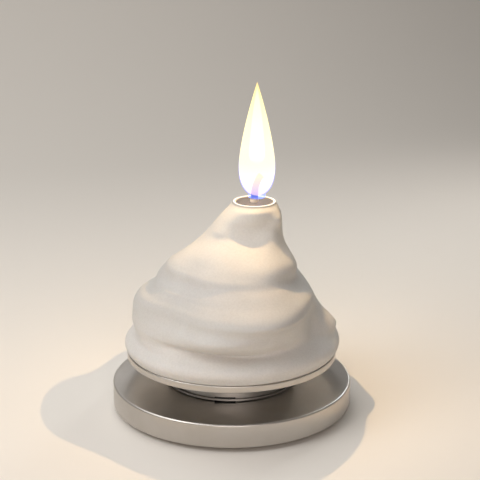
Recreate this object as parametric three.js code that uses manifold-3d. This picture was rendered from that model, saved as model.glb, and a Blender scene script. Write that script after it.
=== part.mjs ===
// Melted candle on a turned metal stand.
//
// Frame: millimetres, +Z up, origin on the table under the middle of the base disc.
// The front of the object faces -Y, and the candle leans towards +X.
//
// From the bottom: three clear bumper feet, a turned base disc, a hub that stands a
// hair above it on a smaller boss, a thin drip plate, and the slumped candle with its
// wick, its melt pool and its flame.

import * as THREE from 'three';
import { mergeVertices } from 'three/addons/utils/BufferGeometryUtils.js';
import Module from 'manifold-3d';

const wasm = await Module();
wasm.setup();

// ---------------------------------------------------------------- driving dimensions

const BASE_DIAMETER = 80;
const BASE_THICKNESS = 7.8;
const BASE_BEVEL = 0.6;
const BASE_LOWER_ROUNDING = 0.3;
const BASE_SCREW_HOLE_RADIUS = 2.7;
const COUNTERBORE_RADIUS = 6;
const COUNTERBORE_DEPTH = 4.2;

const FOOT_DIAMETER = 8;
const FOOT_HEIGHT = 1.6;
const FOOT_CIRCLE_RADIUS = 34.6;
const FOOT_TURN_DEG = -3;

const HUB_RING_DIAMETER = 44.3;
const HUB_RING_HEIGHT = 0.55;
const HUB_WALL_DIAMETER = 43.6;
const HUB_GROOVE_DEPTH = 0.45;
const HUB_GROOVE_HEIGHT = 0.55;
const HUB_HEIGHT = 8.7;
const HUB_BOSS_DIAMETER = 37;
const HUB_SHADOW_GAP = 0.5;

const PLATE_DIAMETER = 70;
const PLATE_THICKNESS = 2.2;
const PLATE_BEVEL = 0.35;
const PLATE_LOWER_ROUNDING = 0.2;

const MARK_WIDTH = 6.8;
const MARK_CENTRE_X = -2.2;
const MARK_CENTRE_Y = -21.9;
const MARK_DEPTH = 2.2;
const MARK_THICKNESS = 0.6;
const MARK_CLEARANCE = 0.1;

const WAX_SEAT_GAP = 0.3;
const WAX_HEIGHT = 50.7;
const WAX_SECTORS = 72;
const WAX_LEVEL_STEP = 1.3;
const CUP_RADIUS = 6.1;
const CUP_DEPTH = 3.6;
const CUP_CORNER = 2.2;
const POOL_DROP = 0.8;
const POOL_GAP = 0.15;

const WICK_DIAMETER = 2.4;
const WICK_CLEARANCE = 0.3;

const FLAME_HEIGHT = 38.5;
const FLAME_RADIUS = 6.05;
const FLAME_WIDEST_AT = 0.28;
const FLAME_CENTRE_X = 8.3;
const FLAME_LIFT = 0.7;

// Levels that follow from the stack.
const baseBottom = FOOT_HEIGHT;
const baseTop = baseBottom + BASE_THICKNESS;
const plateBottom = baseTop + HUB_HEIGHT;
const plateTop = plateBottom + PLATE_THICKNESS;
const rimTop = plateTop + WAX_HEIGHT;
const poolTop = rimTop - POOL_DROP;

// ---------------------------------------------------------------- materials

function material(color, roughness, metalness, extra = {}) {
  return new THREE.MeshStandardMaterial({ color, roughness, metalness, ...extra });
}

const finish = {
  satinSteel: () => material(0xa8a096, 0.34, 1),
  fastenerSteel: () => material(0x8d8b88, 0.4, 1),
  clearRubber: () => material(0xded8cc, 0.35, 0),
  black: () => material(0x0b0b0b, 0.6, 0),
  tinnedSteel: () => material(0x9c9a94, 0.45, 1),
  cotton: () => material(0x2b2522, 0.95, 0),
  wax: () => material(0xd8cfc2, 0.6, 0),
  liquidWax: () => material(0x9c8b7c, 0.08, 0),
  flame: () => material(0xfff2c8, 1, 0, { emissive: 0xffd890 }),
};

// ---------------------------------------------------------------- geometry helpers

const point = (r, z) => new THREE.Vector2(r, z);

// Turns an outline of [radius, height] points about +Z.
function turned(outline, sectors) {
  const geometry = new THREE.LatheGeometry(outline, sectors);
  geometry.rotateX(Math.PI / 2);
  return geometry;
}

// Points of an arc about (r, z), from one angle to another, in degrees.
function arcPoints(r, z, radius, fromDeg, toDeg, steps) {
  const points = [];
  for (let i = 0; i <= steps; i += 1) {
    const angle = THREE.MathUtils.degToRad(fromDeg + ((toDeg - fromDeg) * i) / steps);
    points.push(point(r + radius * Math.cos(angle), z + radius * Math.sin(angle)));
  }
  return points;
}

function plainDisc(radius, bottom, top, sectors) {
  return turned([point(0, bottom), point(radius, bottom), point(radius, top), point(0, top)], sectors);
}

function boxAt(width, depth, height, x, y, z) {
  const geometry = new THREE.BoxGeometry(width, depth, height);
  geometry.translate(x, y, z);
  return geometry;
}

// A closed geometry as a solid that can be joined and cut.
function solid(geometry) {
  const bare = geometry.clone();
  bare.deleteAttribute('normal');
  bare.deleteAttribute('uv');
  const merged = mergeVertices(bare, 1e-4);
  const index = merged.index.array;
  const kept = [];
  for (let i = 0; i < index.length; i += 3) {
    const [a, b, c] = [index[i], index[i + 1], index[i + 2]];
    if (a !== b && b !== c && c !== a) kept.push(a, b, c);
  }
  return new wasm.Manifold(new wasm.Mesh({
    numProp: 3,
    vertProperties: new Float32Array(merged.attributes.position.array),
    triVerts: new Uint32Array(kept),
  }));
}

// A solid back as a geometry with flat facets.
function geometryOf(body) {
  const mesh = body.getMesh();
  const geometry = new THREE.BufferGeometry();
  geometry.setAttribute('position', new THREE.BufferAttribute(mesh.vertProperties, 3));
  geometry.setIndex(new THREE.BufferAttribute(mesh.triVerts, 1));
  const flat = geometry.toNonIndexed();
  flat.computeVertexNormals();
  return flat;
}

function cut(geometry, ...cutters) {
  let body = solid(geometry);
  for (const cutter of cutters) body = body.subtract(solid(cutter));
  return geometryOf(body);
}

function part(name, geometry, materialOf, place = [0, 0, 0]) {
  const mesh = new THREE.Mesh(geometry, materialOf());
  mesh.name = name;
  mesh.position.set(...place);
  return mesh;
}

// A smooth curve through a column of [height, value, value, ...] rows.
function columnAt(rows, column, height) {
  const last = rows.length - 1;
  let i = 0;
  while (i < last - 1 && height > rows[i + 1][0]) i += 1;
  const slope = (k) => {
    const low = Math.max(k - 1, 0);
    const high = Math.min(k + 1, last);
    return (rows[high][column] - rows[low][column]) / (rows[high][0] - rows[low][0]);
  };
  const span = rows[i + 1][0] - rows[i][0];
  const t = (height - rows[i][0]) / span;
  const t2 = t * t;
  const t3 = t2 * t;
  return (2 * t3 - 3 * t2 + 1) * rows[i][column]
    + (t3 - 2 * t2 + t) * span * slope(i)
    + (3 * t2 - 2 * t3) * rows[i + 1][column]
    + (t3 - t2) * span * slope(i + 1);
}

// ---------------------------------------------------------------- stand

function baseDisc() {
  const r = BASE_DIAMETER / 2;
  const bevel = BASE_BEVEL;
  const outline = [
    point(0, 0),
    ...arcPoints(r - BASE_LOWER_ROUNDING, BASE_LOWER_ROUNDING, BASE_LOWER_ROUNDING, -90, 0, 3),
    ...arcPoints(r - bevel, BASE_THICKNESS - bevel, bevel, 0, 90, 5),
    point(0, BASE_THICKNESS),
  ];
  const body = turned(outline, 72);
  const screwHole = plainDisc(BASE_SCREW_HOLE_RADIUS, -1, BASE_THICKNESS + 1, 24);
  const counterbore = plainDisc(COUNTERBORE_RADIUS, -1, COUNTERBORE_DEPTH, 32);
  const markPocket = boxAt(
    MARK_WIDTH + 2 * MARK_CLEARANCE, MARK_DEPTH + 2 * MARK_CLEARANCE, 2 * MARK_THICKNESS,
    MARK_CENTRE_X, MARK_CENTRE_Y, BASE_THICKNESS,
  );
  return part('base_disc', cut(body, screwHole, counterbore, markPocket), finish.satinSteel,
    [0, 0, baseBottom]);
}

function foot(name, azimuthDeg) {
  const r = FOOT_DIAMETER / 2;
  const rounding = 0.9;
  const outline = [
    point(0, 0),
    ...arcPoints(r - rounding, rounding, rounding, -90, 0, 4),
    point(r - 0.1, FOOT_HEIGHT),
    point(0, FOOT_HEIGHT),
  ];
  const azimuth = THREE.MathUtils.degToRad(azimuthDeg);
  const place = [
    FOOT_CIRCLE_RADIUS * Math.cos(azimuth), FOOT_CIRCLE_RADIUS * Math.sin(azimuth), 0,
  ];
  return part(name, turned(outline, 20), finish.clearRubber, place);
}

function hub() {
  const ring = HUB_RING_DIAMETER / 2;
  const wall = HUB_WALL_DIAMETER / 2;
  const groove = wall - HUB_GROOVE_DEPTH;
  const ringTop = HUB_SHADOW_GAP + HUB_RING_HEIGHT;
  const grooveTop = ringTop + HUB_GROOVE_HEIGHT;
  const outline = [
    point(0, 0),
    point(HUB_BOSS_DIAMETER / 2, 0),
    point(HUB_BOSS_DIAMETER / 2, HUB_SHADOW_GAP),
    point(ring - 0.1, HUB_SHADOW_GAP),
    point(ring, HUB_SHADOW_GAP + 0.1),
    point(ring, ringTop - 0.15),
    point(ring - 0.15, ringTop),
    point(groove, ringTop),
    point(groove, grooveTop),
    point(wall, grooveTop),
    point(wall, HUB_HEIGHT),
    point(0, HUB_HEIGHT),
  ];
  const screwHole = plainDisc(2.6, -1, 6.6, 24);
  const plateScrewHoles = plateScrewPlaces().map(([x, y]) => {
    const hole = plainDisc(1.6, HUB_HEIGHT - 5.2, HUB_HEIGHT + 1, 16);
    hole.translate(x, y, 0);
    return hole;
  });
  return part('hub', cut(turned(outline, 60), screwHole, ...plateScrewHoles), finish.satinSteel,
    [0, 0, baseTop]);
}

// The black index mark let into the base in front of the hub.
function baseMark() {
  const plate = boxAt(MARK_WIDTH, MARK_DEPTH, MARK_THICKNESS, 0, 0, 0);
  return part('base_mark', plate, finish.black,
    [MARK_CENTRE_X, MARK_CENTRE_Y, baseTop - MARK_THICKNESS / 2 + 0.1]);
}

// The black index mark that fills the hub's groove above the ring.
function hubMark() {
  const wall = HUB_WALL_DIAMETER / 2;
  const inner = wall - HUB_GROOVE_DEPTH + MARK_CLEARANCE;
  const outer = wall + 0.1;
  const halfAngle = Math.asin(MARK_WIDTH / 2 / wall);
  const middle = Math.asin(MARK_CENTRE_X / wall) - Math.PI / 2;
  const shape = new THREE.Shape();
  shape.absarc(0, 0, outer, middle - halfAngle, middle + halfAngle, false);
  shape.absarc(0, 0, inner, middle + halfAngle, middle - halfAngle, true);
  const height = HUB_GROOVE_HEIGHT - 2 * 0.05;
  const geometry = new THREE.ExtrudeGeometry(shape, {
    depth: height, bevelEnabled: false, curveSegments: 8,
  });
  const bottom = baseTop + HUB_SHADOW_GAP + HUB_RING_HEIGHT + 0.05;
  return part('hub_mark', geometry, finish.black, [0, 0, bottom]);
}

function dripPlate() {
  const r = PLATE_DIAMETER / 2;
  const bevel = PLATE_BEVEL;
  const outline = [
    point(0, 0),
    ...arcPoints(r - PLATE_LOWER_ROUNDING, PLATE_LOWER_ROUNDING, PLATE_LOWER_ROUNDING, -90, 0, 2),
    ...arcPoints(r - bevel, PLATE_THICKNESS - bevel, bevel, 0, 90, 4),
    point(0, PLATE_THICKNESS),
  ];
  const countersinks = plateScrewPlaces().map(([x, y]) => {
    const hole = turned([
      point(0, -1), point(1.7, -1), point(1.7, PLATE_THICKNESS - 1.5),
      point(3.2, PLATE_THICKNESS), point(3.2, PLATE_THICKNESS + 1), point(0, PLATE_THICKNESS + 1),
    ], 20);
    hole.translate(x, y, 0);
    return hole;
  });
  return part('drip_plate', cut(turned(outline, 72), ...countersinks), finish.satinSteel,
    [0, 0, plateBottom]);
}

// ---------------------------------------------------------------- fasteners

function plateScrewPlaces() {
  const places = [];
  for (let i = 0; i < 3; i += 1) {
    const angle = THREE.MathUtils.degToRad(30 + 120 * i);
    places.push([13 * Math.cos(angle), 13 * Math.sin(angle)]);
  }
  return places;
}

// A countersunk screw with a hexagon socket, its head's top at height 0.
function plateScrew(name, [x, y]) {
  const outline = [
    point(0, -6.6), point(1.0, -6.6), point(1.4, -6.2), point(1.4, -1.5),
    point(2.8, -0.15), point(2.8, 0), point(0, 0),
  ];
  const socket = plainDisc(1.0, -1, 1, 6);
  return part(name, cut(turned(outline, 20), socket), finish.fastenerSteel, [x, y, plateTop]);
}

// The cap screw that holds the hub to the base from below, its head's underside at height 0.
function hubScrew() {
  const outline = [
    point(0, -2.8), point(4.0, -2.8), point(4.4, -2.4), point(4.4, 0),
    point(2.4, 0), point(2.4, 9.2), point(2.0, 9.6), point(0, 9.6),
  ];
  const socket = plainDisc(2.1, -4, -1.2, 6);
  return part('hub_screw', cut(turned(outline, 28), socket), finish.fastenerSteel,
    [0, 0, baseBottom + 3.4]);
}

function hubScrewWasher() {
  const outline = [
    point(2.7, 0), point(5.4, 0), point(5.4, 0.7), point(2.7, 0.7), point(2.7, 0),
  ];
  return part('hub_screw_washer', turned(outline, 28), finish.fastenerSteel,
    [0, 0, baseBottom + 3.45]);
}

// ---------------------------------------------------------------- candle

// Sections of the slumped wax, from the plate up:
// height, then how far the wax reaches to the left, right, front and back.
const WAX_SECTIONS = [
  [WAX_SEAT_GAP, -35.0, 35.0, 35.0, 35.0],
  [1.0, -35.8, 36.1, 35.8, 35.7],
  [3.0, -35.8, 36.2, 36.3, 36.2],
  [4.8, -34.4, 35.4, 35.8, 35.6],
  [6.6, -32.4, 33.2, 33.5, 34.9],
  [8.6, -31.8, 30.8, 31.0, 33.4],
  [11.5, -32.8, 29.3, 32.7, 32.9],
  [15.0, -32.5, 28.6, 33.8, 32.5],
  [18.2, -31.4, 27.4, 33.6, 31.4],
  [20.2, -29.8, 26.3, 32.4, 29.8],
  [22.0, -27.0, 25.2, 30.8, 28.5],
  [23.8, -24.7, 24.0, 28.8, 27.2],
  [26.0, -23.1, 22.4, 26.5, 25.6],
  [28.0, -22.0, 20.8, 24.6, 23.8],
  [29.9, -20.7, 19.4, 23.4, 22.0],
  [31.4, -18.5, 18.6, 22.1, 20.0],
  [33.5, -15.4, 17.9, 20.2, 17.8],
  [36.5, -11.8, 17.2, 17.0, 14.8],
  [39.3, -9.1, 16.8, 13.7, 12.6],
  [41.5, -7.2, 16.7, 11.3, 11.2],
  [44.0, -5.2, 16.6, 10.0, 10.4],
  [46.6, -2.9, 16.3, 9.7, 9.9],
  [48.7, -0.9, 15.5, 9.0, 9.0],
  [50.0, 0.1, 14.9, 7.9, 7.8],
  [WAX_HEIGHT, 0.6, 14.4, 7.0, 7.0],
];
const [LEFT, RIGHT, FRONT, BACK] = [1, 2, 3, 4];

// Folds and swellings on the slumped wax: height, azimuth in degrees, how far round it
// spans, how fast it climbs with the azimuth, how far it stands out, and how softly it
// fades upwards and downwards. A negative lip is a dent.
const WAX_FOLDS = [
  { height: 8.0, azimuth: 28, span: 16, climb: 0, lip: 2.0, above: 4.0, below: 3.0 },
  { height: 8.2, azimuth: -146, span: 20, climb: 0, lip: 1.5, above: 2.4, below: 1.8 },
  { height: 8.2, azimuth: -90, span: 30, climb: -2.0, lip: -1.5, above: 0.9, below: 1.3 },
  { height: 9.2, azimuth: -2, span: 18, climb: 0, lip: 4.4, above: 4.4, below: 2.4 },
  { height: 9.8, azimuth: 180, span: 50, climb: 0, lip: 0.4, above: 3.0, below: 1.0 },
  { height: 12.0, azimuth: -26, span: 9, climb: 0, lip: -1.6, above: 6.0, below: 4.0 },
  { height: 12.4, azimuth: -88, span: 42, climb: 0, lip: 2.4, above: 3.6, below: 2.6 },
  { height: 14.2, azimuth: -96, span: 20, climb: 0, lip: 1.8, above: 1.6, below: 2.4 },
  { height: 17.0, azimuth: 180, span: 22, climb: 0, lip: 0.6, above: 3.0, below: 3.0 },
  { height: 18.0, azimuth: 142, span: 13, climb: 0, lip: -4.5, above: 12.0, below: 6.0 },
  { height: 18.5, azimuth: -126, span: 24, climb: 0, lip: -4.2, above: 12.0, below: 7.0 },
  { height: 19.5, azimuth: -63, span: 24, climb: 0, lip: 5.7, above: 5.4, below: 3.5 },
  { height: 22.0, azimuth: -28, span: 22, climb: 0, lip: 2.6, above: 4.0, below: 3.6 },
  { height: 24.2, azimuth: -148, span: 26, climb: 0, lip: 1.7, above: 1.9, below: 4.2 },
  { height: 24.5, azimuth: -120, span: 20, climb: 0, lip: 1.0, above: 2.5, below: 3.5 },
  { height: 26.0, azimuth: 172, span: 16, climb: 0, lip: 1.1, above: 2.4, below: 2.4 },
  { height: 26.4, azimuth: -62, span: 26, climb: 0, lip: 2.2, above: 3.0, below: 3.6 },
  { height: 31.8, azimuth: -58, span: 23, climb: 0, lip: 3.2, above: 5.0, below: 4.4 },
  { height: 32.0, azimuth: -27, span: 20, climb: -1.0, lip: 3.9, above: 6.0, below: 3.6 },
  { height: 32.4, azimuth: -164, span: 26, climb: 0, lip: 1.5, above: 4.2, below: 3.0 },
  { height: 36.0, azimuth: -136, span: 28, climb: 0, lip: 1.1, above: 3.8, below: 3.6 },
  { height: 41.0, azimuth: -52, span: 19, climb: 0, lip: 1.8, above: 2.5, below: 6.0 },
  { height: 42.4, azimuth: -135, span: 22, climb: 0, lip: 1.1, above: 4.4, below: 2.0 },
  { height: 45.4, azimuth: -36, span: 17, climb: 0, lip: 1.5, above: 2.8, below: 2.4 },
];

function foldAt(fold, angle, height) {
  const offset = angle - THREE.MathUtils.degToRad(fold.azimuth);
  const turn = Math.atan2(Math.sin(offset), Math.cos(offset));
  const rise = height - (fold.height + fold.climb * turn);
  const softness = rise > 0 ? fold.above : fold.below;
  const span = THREE.MathUtils.degToRad(fold.span);
  return fold.lip * Math.exp(-((rise / softness) ** 2) - (turn / span) ** 2);
}

const waxCentreX = (height) => (
  columnAt(WAX_SECTIONS, LEFT, height) + columnAt(WAX_SECTIONS, RIGHT, height)
) / 2;

// The wax surface at an angle about its section's own centre: a quarter of an ellipse
// between each two reaches, with the folds standing out of it.
function waxPoint(angle, height, share) {
  const c = Math.cos(angle);
  const s = Math.sin(angle);
  const centreX = waxCentreX(height);
  const halfWidth = columnAt(WAX_SECTIONS, RIGHT, height) - centreX;
  const halfDepth = columnAt(WAX_SECTIONS, s < 0 ? FRONT : BACK, height);
  let radius = (halfWidth * halfDepth) / Math.hypot(halfDepth * c, halfWidth * s);
  for (const fold of WAX_FOLDS) radius += foldAt(fold, angle, height);
  return [centreX + share * radius * c, share * radius * s, height];
}

// Centre line of the wick: up through the leaning wax, then out of the pool in a bend.
const wickPath = new THREE.CatmullRomCurve3([
  [0, 0, plateTop + 0.9],
  [0.2, 0, plateTop + 12],
  [1.3, 0, plateTop + 25],
  [3.9, 0, plateTop + 37],
  [6.6, 0, plateTop + 46],
  [7.4, 0, rimTop - 0.6],
  [7.6, 0, rimTop + 2.9],
  [8.0, 0, rimTop + 5.2],
  [8.9, 0, rimTop + 7.4],
  [9.8, 0, rimTop + 8.6],
].map(([x, y, z]) => new THREE.Vector3(x, y, z)));

function alongWick(radius, sides, steps, path = wickPath) {
  const shape = new THREE.Shape();
  for (let i = 0; i < sides; i += 1) {
    const angle = (2 * Math.PI * i) / sides;
    const [x, y] = [radius * Math.cos(angle), radius * Math.sin(angle)];
    if (i === 0) shape.moveTo(x, y);
    else shape.lineTo(x, y);
  }
  shape.closePath();
  return new THREE.ExtrudeGeometry(shape, { steps, extrudePath: path, bevelEnabled: false });
}

// The space the wick needs: its own path a little longer and a little fatter.
function wickSpace() {
  const ends = wickPath.getPoints(30);
  const startStep = ends[0].clone().sub(ends[1]).setLength(4);
  const endStep = ends[30].clone().sub(ends[29]).setLength(WICK_CLEARANCE);
  const longer = new THREE.CatmullRomCurve3([
    ends[0].clone().add(startStep), ...ends, ends[30].clone().add(endStep),
  ]);
  return alongWick(WICK_DIAMETER / 2 + WICK_CLEARANCE, 10, 26, longer);
}

// The cup that the flame has melted in the top, and the pool standing in it.
function cupOutline(gap, top) {
  const r = CUP_RADIUS - gap;
  const bottom = rimTop - CUP_DEPTH + gap;
  return [
    point(0, bottom),
    ...arcPoints(r - CUP_CORNER, bottom + CUP_CORNER, CUP_CORNER, -90, 0, 5),
    point(r, top),
    point(0, top),
  ];
}

function aboutRim(geometry) {
  geometry.translate(waxCentreX(WAX_HEIGHT), 0, 0);
  return geometry;
}

const SUSTAINER_RADIUS = 8;
const SUSTAINER_SHEET = 0.4;
const SUSTAINER_NECK_RADIUS = 2.2;
const SUSTAINER_NECK_HEIGHT = 3.4;

function waxBody() {
  const bottom = WAX_SEAT_GAP;
  const levels = Math.round((WAX_HEIGHT - bottom) / WAX_LEVEL_STEP);
  const outline = [point(0, bottom), point(0.5, bottom)];
  for (let i = 0; i <= levels; i += 1) {
    outline.push(point(1, bottom + ((WAX_HEIGHT - bottom) * i) / levels));
  }
  outline.push(point(0, WAX_HEIGHT));
  const geometry = turned(outline, WAX_SECTORS);
  const position = geometry.attributes.position;
  for (let i = 0; i < position.count; i += 1) {
    const [x, y, z] = [position.getX(i), position.getY(i), position.getZ(i)];
    position.setXYZ(i, ...waxPoint(Math.atan2(y, x), z, Math.hypot(x, y)));
  }
  geometry.translate(0, 0, plateTop);
  const sustainerSpace = turned([
    point(0, plateTop - 1),
    point(SUSTAINER_RADIUS + 0.3, plateTop - 1),
    point(SUSTAINER_RADIUS + 0.3, plateTop + SUSTAINER_SHEET + 0.3),
    point(SUSTAINER_NECK_RADIUS + 0.3, plateTop + SUSTAINER_SHEET + 0.3),
    point(SUSTAINER_NECK_RADIUS + 0.3, plateTop + SUSTAINER_NECK_HEIGHT + 0.3),
    point(0, plateTop + SUSTAINER_NECK_HEIGHT + 0.3),
  ], 32);
  const cup = aboutRim(turned(cupOutline(0, rimTop + 1), 32));
  return part('wax_body', cut(geometry, sustainerSpace, cup, wickSpace()), finish.wax);
}

function meltPool() {
  const pool = aboutRim(turned(cupOutline(POOL_GAP, poolTop), 32));
  return part('melt_pool', cut(pool, wickSpace()), finish.liquidWax);
}

function wick() {
  return part('wick', alongWick(WICK_DIAMETER / 2, 8, 24), finish.cotton);
}

// The pressed tab that holds the wick upright on the plate.
function wickSustainer() {
  const bore = WICK_DIAMETER / 2 + 0.25;
  const outline = [
    point(bore, 0),
    point(SUSTAINER_RADIUS, 0),
    point(SUSTAINER_RADIUS, SUSTAINER_SHEET),
    point(SUSTAINER_NECK_RADIUS + 0.5, SUSTAINER_SHEET),
    point(SUSTAINER_NECK_RADIUS, SUSTAINER_SHEET + 0.5),
    point(SUSTAINER_NECK_RADIUS, SUSTAINER_NECK_HEIGHT),
    point(bore, SUSTAINER_NECK_HEIGHT),
    point(bore, 0),
  ];
  return part('wick_sustainer', turned(outline, 24), finish.tinnedSteel, [0, 0, plateTop]);
}

// The flame's outline: a round foot below its widest level and a long taper above it.
function flameRadius(share) {
  if (share < FLAME_WIDEST_AT) {
    const below = (FLAME_WIDEST_AT - share) / FLAME_WIDEST_AT;
    return FLAME_RADIUS * Math.sqrt(1 - below ** 2.2);
  }
  const above = (share - FLAME_WIDEST_AT) / (1 - FLAME_WIDEST_AT);
  return FLAME_RADIUS * (1 - above ** 1.42);
}

function flame() {
  const steps = 16;
  const outline = [point(0, 0)];
  for (let i = 1; i < steps; i += 1) {
    const share = (1 - Math.cos((Math.PI * i) / steps)) / 2;
    outline.push(point(flameRadius(share), share * FLAME_HEIGHT));
  }
  outline.push(point(0, FLAME_HEIGHT));
  const geometry = turned(outline, 24);
  geometry.translate(FLAME_CENTRE_X, 0, rimTop + FLAME_LIFT);
  return part('flame', cut(geometry, wickSpace()), finish.flame);
}

// ---------------------------------------------------------------- assembly

const candle = new THREE.Group();

candle.add(baseDisc());
['foot_back', 'foot_front_left', 'foot_front_right'].forEach((name, i) => {
  candle.add(foot(name, 90 + FOOT_TURN_DEG + 120 * i));
});
candle.add(baseMark());
candle.add(hub());
candle.add(hubMark());
candle.add(hubScrew());
candle.add(hubScrewWasher());
candle.add(dripPlate());
plateScrewPlaces().forEach((place, i) => {
  candle.add(plateScrew(`plate_screw_${i + 1}`, place));
});
candle.add(wickSustainer());
candle.add(waxBody());
candle.add(meltPool());
candle.add(wick());
candle.add(flame());

export default candle;
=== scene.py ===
"""Melted candle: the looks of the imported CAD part, in metres, +Z up.

The front faces -Y and the candle leans towards +X. Lengths in the constants are
millimetres, as in the CAD source, and MM turns them into metres. The shapes follow the
CAD. Only the foot and lip of the wax, its pool and two thin gaps differ a little.
"""

import math

import bpy
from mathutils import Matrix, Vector, noise


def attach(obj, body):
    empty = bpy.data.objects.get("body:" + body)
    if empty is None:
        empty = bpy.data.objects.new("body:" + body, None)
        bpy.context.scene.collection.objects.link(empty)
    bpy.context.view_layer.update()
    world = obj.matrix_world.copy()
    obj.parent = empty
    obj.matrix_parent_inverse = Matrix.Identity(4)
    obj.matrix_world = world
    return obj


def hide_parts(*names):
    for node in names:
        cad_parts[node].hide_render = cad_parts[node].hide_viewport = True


MM = 0.001

# ---------------------------------------------------------------- driving dimensions

BASE_RADIUS = 40.0
BASE_BOTTOM = 1.6
BASE_TOP = 9.4
BASE_BEVEL = 0.6
BASE_LOWER_ROUNDING = 0.3
BASE_SCREW_HOLE_RADIUS = 2.7
COUNTERBORE_RADIUS = 6.0
COUNTERBORE_DEPTH = 4.2

HUB_WALL_RADIUS = 21.8
HUB_RING_RADIUS = 22.15
HUB_BOSS_RADIUS = 18.5
HUB_GROOVE_DEPTH = 0.45
HUB_GAP_TOP = 9.72
HUB_RING_TOP = 10.45
HUB_GROOVE_TOP = 11.0
HUB_RING_LOWER_CHAMFER = 0.1
HUB_RING_ROUNDING = 0.15
HUB_SCREW_HOLE_RADIUS = 2.6
HUB_SCREW_HOLE_DEPTH = 6.6

PLATE_RADIUS = 35.0
PLATE_BOTTOM = 18.1
PLATE_TOP = 20.3
PLATE_BEVEL = 0.35
PLATE_LOWER_ROUNDING = 0.2

WAX_HEIGHT = 50.7
WAX_SEAT_GAP = 0.06
RIM_TOP = PLATE_TOP + WAX_HEIGHT
CUP_RADIUS = 6.1
CUP_DEPTH = 3.6
CUP_CORNER = 2.2
CUP_FLOOR_FLAT_FROM = 2.0
LIP_ROUNDING = 0.45
POOL_TOP = 70.6
POOL_GAP = 0.15

WICK_RADIUS = 1.2
FLAME_CENTRE_X = 8.3
FLAME_BODY_RADIUS = 5.85
FLAME_BODY_BOTTOM = 72.9
FLAME_TOP = 110.2
FLAME_WIDEST_AT = 0.28
FLAME_CORE_RADIUS = 2.65
FLAME_CORE_BOTTOM = 83.6
FLAME_CORE_TOP = 109.0
FLAME_MANTLE_BOTTOM = 71.75
FLAME_MANTLE_TOP = 92.0
FLAME_LIGHT_HEIGHT = 86.0

# The base's upper face is a painted highlight: its sides get this factor, so the face is coloured
# brighter than they are.
SIDE_TO_PAINTED_BRIGHT_FACE = 0.78

ON_AXIS = 1e-6
LATHE_STEPS = 256
WAX_SECTORS = 320
WAX_LEVELS = 200
LIP_STEPS = 10

# ---------------------------------------------------------------- load the frame

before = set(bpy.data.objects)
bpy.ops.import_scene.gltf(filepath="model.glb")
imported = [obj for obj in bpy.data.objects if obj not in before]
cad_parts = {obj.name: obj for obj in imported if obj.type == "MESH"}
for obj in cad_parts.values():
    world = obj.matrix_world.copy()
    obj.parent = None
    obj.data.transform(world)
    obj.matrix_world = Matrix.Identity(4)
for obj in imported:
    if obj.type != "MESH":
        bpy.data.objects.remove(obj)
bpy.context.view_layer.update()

# ---------------------------------------------------------------- mesh helpers


def mesh_object(name, vertices, faces, sharp_deg=35.0):
    """A smooth object in the row frame from vertices in millimetres."""
    mesh = bpy.data.meshes.new(name)
    mesh.from_pydata([(x * MM, y * MM, z * MM) for x, y, z in vertices], [], faces)
    mesh.update()
    for polygon in mesh.polygons:
        polygon.use_smooth = True
    mesh.set_sharp_from_angle(angle=math.radians(sharp_deg))
    obj = bpy.data.objects.new(name, mesh)
    bpy.context.scene.collection.objects.link(obj)
    return obj


def piece(obj, material, replaces=()):
    """Gives a piece its material and puts it in the frame's table."""
    obj.data.materials.append(material)
    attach(obj, "root")
    if replaces:
        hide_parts(*replaces)
    return obj


def arc(r, z, radius, from_deg, to_deg, steps):
    """Points (radius, height) of an arc about (r, z)."""
    points = []
    for i in range(steps + 1):
        angle = math.radians(from_deg + (to_deg - from_deg) * i / steps)
        points.append((r + radius * math.cos(angle), z + radius * math.sin(angle)))
    return points


def turned(name, outline, centre_x=0.0, steps=LATHE_STEPS, ring=False, sharp_deg=35.0):
    """An outline of (radius, height) points turned about the upright line at centre_x.

    An outline that starts and ends on the axis closes itself. With ring, its last point
    joins its first."""
    vertices = []
    rows = []
    for r, z in outline:
        if r < ON_AXIS:
            rows.append([len(vertices)])
            vertices.append((centre_x, 0.0, z))
            continue
        row = []
        for i in range(steps):
            angle = 2 * math.pi * i / steps
            row.append(len(vertices))
            vertices.append((centre_x + r * math.cos(angle), r * math.sin(angle), z))
        rows.append(row)
    pairs = list(zip(rows, rows[1:]))
    if ring:
        pairs.append((rows[-1], rows[0]))
    faces = []
    for low, high in pairs:
        for i in range(steps):
            j = (i + 1) % steps
            if len(low) == 1 and len(high) > 1:
                faces.append((low[0], high[j], high[i]))
            elif len(high) == 1 and len(low) > 1:
                faces.append((low[i], low[j], high[0]))
            elif len(low) > 1:
                faces.append((low[i], low[j], high[j], high[i]))
    return mesh_object(name, vertices, faces, sharp_deg)


# ---------------------------------------------------------------- material helpers


def new_material(name):
    """An empty node material and its output node."""
    material = bpy.data.materials.new(name)
    material.use_nodes = True
    material.node_tree.nodes.clear()
    output = material.node_tree.nodes.new("ShaderNodeOutputMaterial")
    return material, material.node_tree, output


def add(tree, kind, inputs=None, **settings):
    """A node with its settings. An input is a value or an output socket to link."""
    node = tree.nodes.new(kind)
    for key, value in settings.items():
        setattr(node, key, value)
    for key, value in (inputs or {}).items():
        if isinstance(value, bpy.types.NodeSocket):
            tree.links.new(value, node.inputs[key])
        else:
            node.inputs[key].default_value = value
    return node


def colour(r, g, b):
    return (r, g, b, 1.0)


def ramp(tree, factor, stops):
    """A colour ramp through (place, colour) stops."""
    node = add(tree, "ShaderNodeValToRGB", {"Fac": factor})
    elements = node.color_ramp.elements
    while len(elements) > 1:
        elements.remove(elements[-1])
    elements[0].position, elements[0].color = stops[0]
    for place, value in stops[1:]:
        elements.new(place).color = value
    return node.outputs["Color"]


MIX_FACTOR, MIX_FIRST, MIX_SECOND, MIX_RESULT = 0, 6, 7, 2


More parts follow.
